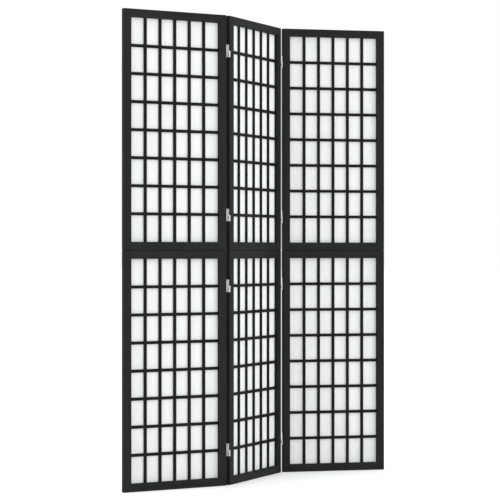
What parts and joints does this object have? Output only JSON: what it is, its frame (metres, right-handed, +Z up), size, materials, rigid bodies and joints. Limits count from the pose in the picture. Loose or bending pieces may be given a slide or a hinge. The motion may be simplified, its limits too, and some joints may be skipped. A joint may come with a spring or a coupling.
{
  "type": "shoji folding screen",
  "caption": "Freestanding folding screen of three hinged panels, each two black lattice frames backed by white paper, set up in a zigzag.",
  "frame": {"origin": "middle of the middle panel's foot, on the floor", "axes": "+Z up; +X along the middle panel to the right as seen from the front; -Y towards the front; the left wing goes back and the right wing comes forward"},
  "size_m": [1.03, 0.5564, 1.7],
  "materials": {
    "frame_wood": "black stained wood, satin, faint grain",
    "lattice_wood": "black stained wood, satin",
    "shoji_paper": "matte white fibrous paper",
    "hinge_metal": "satin nickel-plated steel"
  },
  "bodies": {
    "middle_panel": {"middle_lower_left_stile": "frame_wood", "middle_lower_right_stile": "frame_wood", "middle_lower_bottom_rail": "frame_wood", "middle_lower_top_rail": "frame_wood", "middle_lower_lattice": "lattice_wood", "middle_lower_paper": "shoji_paper", "middle_upper_left_stile": "frame_wood", "middle_upper_right_stile": "frame_wood", "middle_upper_bottom_rail": "frame_wood", "middle_upper_top_rail": "frame_wood", "middle_upper_lattice": "lattice_wood", "middle_upper_paper": "shoji_paper", "left_hinge_1_front_leaf": "hinge_metal", "left_hinge_2_front_leaf": "hinge_metal", "left_hinge_3_front_leaf": "hinge_metal", "left_hinge_4_front_leaf": "hinge_metal", "right_hinge_1_rear_leaf": "hinge_metal", "right_hinge_2_rear_leaf": "hinge_metal", "right_hinge_3_rear_leaf": "hinge_metal", "right_hinge_4_rear_leaf": "hinge_metal"},
    "left_links": {"left_hinge_1_link": "hinge_metal", "left_hinge_2_link": "hinge_metal", "left_hinge_3_link": "hinge_metal", "left_hinge_4_link": "hinge_metal"},
    "left_panel": {"left_lower_left_stile": "frame_wood", "left_lower_right_stile": "frame_wood", "left_lower_bottom_rail": "frame_wood", "left_lower_top_rail": "frame_wood", "left_lower_lattice": "lattice_wood", "left_lower_paper": "shoji_paper", "left_upper_left_stile": "frame_wood", "left_upper_right_stile": "frame_wood", "left_upper_bottom_rail": "frame_wood", "left_upper_top_rail": "frame_wood", "left_upper_lattice": "lattice_wood", "left_upper_paper": "shoji_paper", "left_hinge_1_rear_leaf": "hinge_metal", "left_hinge_2_rear_leaf": "hinge_metal", "left_hinge_3_rear_leaf": "hinge_metal", "left_hinge_4_rear_leaf": "hinge_metal"},
    "right_links": {"right_hinge_1_link": "hinge_metal", "right_hinge_2_link": "hinge_metal", "right_hinge_3_link": "hinge_metal", "right_hinge_4_link": "hinge_metal"},
    "right_panel": {"right_lower_left_stile": "frame_wood", "right_lower_right_stile": "frame_wood", "right_lower_bottom_rail": "frame_wood", "right_lower_top_rail": "frame_wood", "right_lower_lattice": "lattice_wood", "right_lower_paper": "shoji_paper", "right_upper_left_stile": "frame_wood", "right_upper_right_stile": "frame_wood", "right_upper_bottom_rail": "frame_wood", "right_upper_top_rail": "frame_wood", "right_upper_lattice": "lattice_wood", "right_upper_paper": "shoji_paper", "right_hinge_1_front_leaf": "hinge_metal", "right_hinge_2_front_leaf": "hinge_metal", "right_hinge_3_front_leaf": "hinge_metal", "right_hinge_4_front_leaf": "hinge_metal"}
  },
  "joints": [
    {"name": "left_front_barrel", "type": "hinge", "parent": "middle_panel", "child": "left_links", "pos_m": [-0.2044, -0.0096, 0.85], "axis": [0, 0, 1], "range_deg": [0, 90]},
    {"name": "left_rear_barrel", "type": "hinge", "parent": "left_links", "child": "left_panel", "pos_m": [-0.2044, 0.0096, 0.85], "axis": [0, 0, -1], "range_deg": [-34.2, 145.8]},
    {"name": "right_rear_barrel", "type": "hinge", "parent": "middle_panel", "child": "right_links", "pos_m": [0.2044, 0.0096, 0.85], "axis": [0, 0, 1], "range_deg": [-5, 85]},
    {"name": "right_front_barrel", "type": "hinge", "parent": "right_links", "child": "right_panel", "pos_m": [0.20607, -0.00953, 0.85], "axis": [0, 0, -1], "range_deg": [-55.1, 124.9]}
  ]
}
